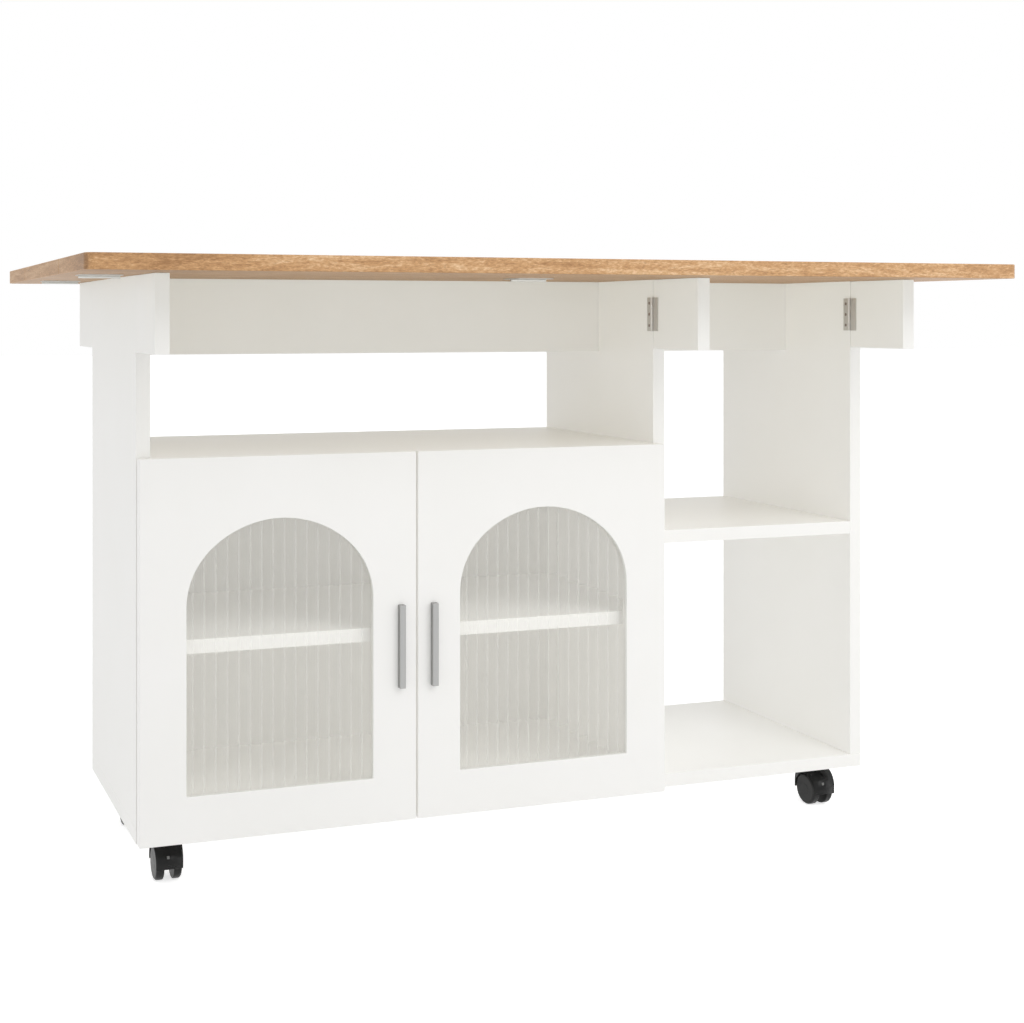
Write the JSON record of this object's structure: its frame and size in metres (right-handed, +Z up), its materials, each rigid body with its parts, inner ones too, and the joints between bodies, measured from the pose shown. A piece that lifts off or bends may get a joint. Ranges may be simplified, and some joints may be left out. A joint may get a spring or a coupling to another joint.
{
  "type": "drop leaf kitchen island",
  "caption": "Kitchen island on casters with an oak finish drop leaf worktop, swing-out leaf supports, arched fluted glass doors and open shelves.",
  "frame": {"origin": "on the floor under the middle of the worktop", "axes": "+Z up; +X along the worktop, towards the open bay; the doors face -Y"},
  "size_m": [1.46, 0.854, 0.912],
  "materials": {
    "white_board": "smooth satin white laminate over board",
    "white_door_board": "smooth satin white",
    "oak_finish_board": "matte oak grain",
    "fluted_glass": "clear, with upright flutes",
    "handle_metal": "satin nickel",
    "hinge_steel": "dull nickel plated steel",
    "hood_plastic": "semi gloss black",
    "wheel_plastic": "semi gloss black",
    "dowel_wood": "plain",
    "bumper_rubber": "soft translucent white"
  },
  "bodies": {
    "cabinet": {"base_board": "white_board", "left_panel": "white_board", "middle_panel": "white_board", "right_panel": "white_board", "counter_board": "white_board", "cabinet_back": "white_board", "cabinet_shelf": "white_board", "bay_shelf": "white_board", "left_spine": "white_board", "right_spine": "white_board", "center_top": "oak_finish_board", "shelf_pins": "hinge_steel", "dowels": "dowel_wood", "support_hinge_plates": "hinge_steel", "leaf_hinge_plates": "hinge_steel", "hinge_pins": "hinge_steel", "hinge_screws": "hinge_steel", "door_hinge_arms": "hinge_steel", "door_bumpers": "bumper_rubber", "caster_plates": "hinge_steel", "caster_screws": "hinge_steel"},
    "front_leaf": {"front_leaf": "oak_finish_board", "front_leaf_hinges": "hinge_steel"},
    "back_leaf": {"back_leaf": "oak_finish_board", "back_leaf_hinges": "hinge_steel"},
    "left_door": {"left_door": "white_door_board", "left_glass": "fluted_glass", "left_glass_beads": "white_door_board", "left_handle": "handle_metal", "left_hinge_cups": "hinge_steel"},
    "right_door": {"right_door": "white_door_board", "right_glass": "fluted_glass", "right_glass_beads": "white_door_board", "right_handle": "handle_metal", "right_hinge_cups": "hinge_steel"},
    "support_front_left": {"leaf_support_front_left": "white_board", "support_hinge_front_left": "hinge_steel"},
    "support_front_middle": {"leaf_support_front_middle": "white_board", "support_hinge_front_middle": "hinge_steel"},
    "support_front_right": {"leaf_support_front_right": "white_board", "support_hinge_front_right": "hinge_steel"},
    "support_back_left": {"leaf_support_back_left": "white_board", "support_hinge_back_left": "hinge_steel"},
    "support_back_middle": {"leaf_support_back_middle": "white_board", "support_hinge_back_middle": "hinge_steel"},
    "support_back_right": {"leaf_support_back_right": "white_board", "support_hinge_back_right": "hinge_steel"},
    "caster_front_left": {"caster_hood_front_left": "hood_plastic"},
    "caster_front_right": {"caster_hood_front_right": "hood_plastic"},
    "caster_back_left": {"caster_hood_back_left": "hood_plastic"},
    "caster_back_right": {"caster_hood_back_right": "hood_plastic"},
    "wheel_front_left_left": {"caster_wheel_front_left_left": "wheel_plastic"},
    "wheel_front_left_right": {"caster_wheel_front_left_right": "wheel_plastic"},
    "wheel_front_right_left": {"caster_wheel_front_right_left": "wheel_plastic"},
    "wheel_front_right_right": {"caster_wheel_front_right_right": "wheel_plastic"},
    "wheel_back_left_left": {"caster_wheel_back_left_left": "wheel_plastic"},
    "wheel_back_left_right": {"caster_wheel_back_left_right": "wheel_plastic"},
    "wheel_back_right_left": {"caster_wheel_back_right_left": "wheel_plastic"},
    "wheel_back_right_right": {"caster_wheel_back_right_right": "wheel_plastic"}
  },
  "joints": [
    {"name": "support_front_left_swing", "type": "hinge", "parent": "cabinet", "child": "support_front_left", "pos_m": [-0.5952, -0.1905, 0.8342], "axis": [0, 0, 1], "range_deg": [0, 180]},
    {"name": "support_front_middle_swing", "type": "hinge", "parent": "cabinet", "child": "support_front_middle", "pos_m": [0.2192, -0.1905, 0.8342], "axis": [0, 0, -1], "range_deg": [0, 180]},
    {"name": "support_front_right_swing", "type": "hinge", "parent": "cabinet", "child": "support_front_right", "pos_m": [0.5952, -0.1905, 0.8342], "axis": [0, 0, -1], "range_deg": [0, 180]},
    {"name": "support_back_left_swing", "type": "hinge", "parent": "cabinet", "child": "support_back_left", "pos_m": [-0.5952, 0.1905, 0.8342], "axis": [0, 0, -1], "range_deg": [0, 180]},
    {"name": "support_back_middle_swing", "type": "hinge", "parent": "cabinet", "child": "support_back_middle", "pos_m": [0.2192, 0.1905, 0.8342], "axis": [0, 0, 1], "range_deg": [0, 180]},
    {"name": "support_back_right_swing", "type": "hinge", "parent": "cabinet", "child": "support_back_right", "pos_m": [0.5952, 0.1905, 0.8342], "axis": [0, 0, 1], "range_deg": [0, 180]},
    {"name": "front_leaf_lift", "type": "hinge", "parent": "cabinet", "child": "front_leaf", "pos_m": [0, -0.1925, 0.8872], "axis": [-1, 0, 0], "range_deg": [0, 2]},
    {"name": "back_leaf_lift", "type": "hinge", "parent": "cabinet", "child": "back_leaf", "pos_m": [0, 0.1925, 0.8872], "axis": [1, 0, 0], "range_deg": [0, 2]},
    {"name": "left_door_swing", "type": "hinge", "parent": "cabinet", "child": "left_door", "pos_m": [-0.618, -0.192, 0.3495], "axis": [0, 0, -1], "range_deg": [0, 95]},
    {"name": "right_door_swing", "type": "hinge", "parent": "cabinet", "child": "right_door", "pos_m": [0.232, -0.192, 0.3495], "axis": [0, 0, 1], "range_deg": [0, 95]},
    {"name": "caster_front_left_swivel", "type": "hinge", "parent": "cabinet", "child": "caster_front_left", "pos_m": [-0.564, -0.1275, 0.057], "axis": [0, 0, 1], "continuous": true},
    {"name": "wheel_front_left_left_roll", "type": "hinge", "parent": "caster_front_left", "child": "wheel_front_left_left", "pos_m": [-0.5775, -0.1395, 0.025], "axis": [1, 0, 0], "continuous": true},
    {"name": "wheel_front_left_right_roll", "type": "hinge", "parent": "caster_front_left", "child": "wheel_front_left_right", "pos_m": [-0.5505, -0.1395, 0.025], "axis": [1, 0, 0], "continuous": true},
    {"name": "caster_front_right_swivel", "type": "hinge", "parent": "cabinet", "child": "caster_front_right", "pos_m": [0.564, -0.1275, 0.057], "axis": [0, 0, 1], "continuous": true},
    {"name": "wheel_front_right_left_roll", "type": "hinge", "parent": "caster_front_right", "child": "wheel_front_right_left", "pos_m": [0.5505, -0.1395, 0.025], "axis": [1, 0, 0], "continuous": true},
    {"name": "wheel_front_right_right_roll", "type": "hinge", "parent": "caster_front_right", "child": "wheel_front_right_right", "pos_m": [0.5775, -0.1395, 0.025], "axis": [1, 0, 0], "continuous": true},
    {"name": "caster_back_left_swivel", "type": "hinge", "parent": "cabinet", "child": "caster_back_left", "pos_m": [-0.564, 0.1275, 0.057], "axis": [0, 0, 1], "continuous": true},
    {"name": "wheel_back_left_left_roll", "type": "hinge", "parent": "caster_back_left", "child": "wheel_back_left_left", "pos_m": [-0.5775, 0.1155, 0.025], "axis": [1, 0, 0], "continuous": true},
    {"name": "wheel_back_left_right_roll", "type": "hinge", "parent": "caster_back_left", "child": "wheel_back_left_right", "pos_m": [-0.5505, 0.1155, 0.025], "axis": [1, 0, 0], "continuous": true},
    {"name": "caster_back_right_swivel", "type": "hinge", "parent": "cabinet", "child": "caster_back_right", "pos_m": [0.564, 0.1275, 0.057], "axis": [0, 0, 1], "continuous": true},
    {"name": "wheel_back_right_left_roll", "type": "hinge", "parent": "caster_back_right", "child": "wheel_back_right_left", "pos_m": [0.5505, 0.1155, 0.025], "axis": [1, 0, 0], "continuous": true},
    {"name": "wheel_back_right_right_roll", "type": "hinge", "parent": "caster_back_right", "child": "wheel_back_right_right", "pos_m": [0.5775, 0.1155, 0.025], "axis": [1, 0, 0], "continuous": true}
  ]
}
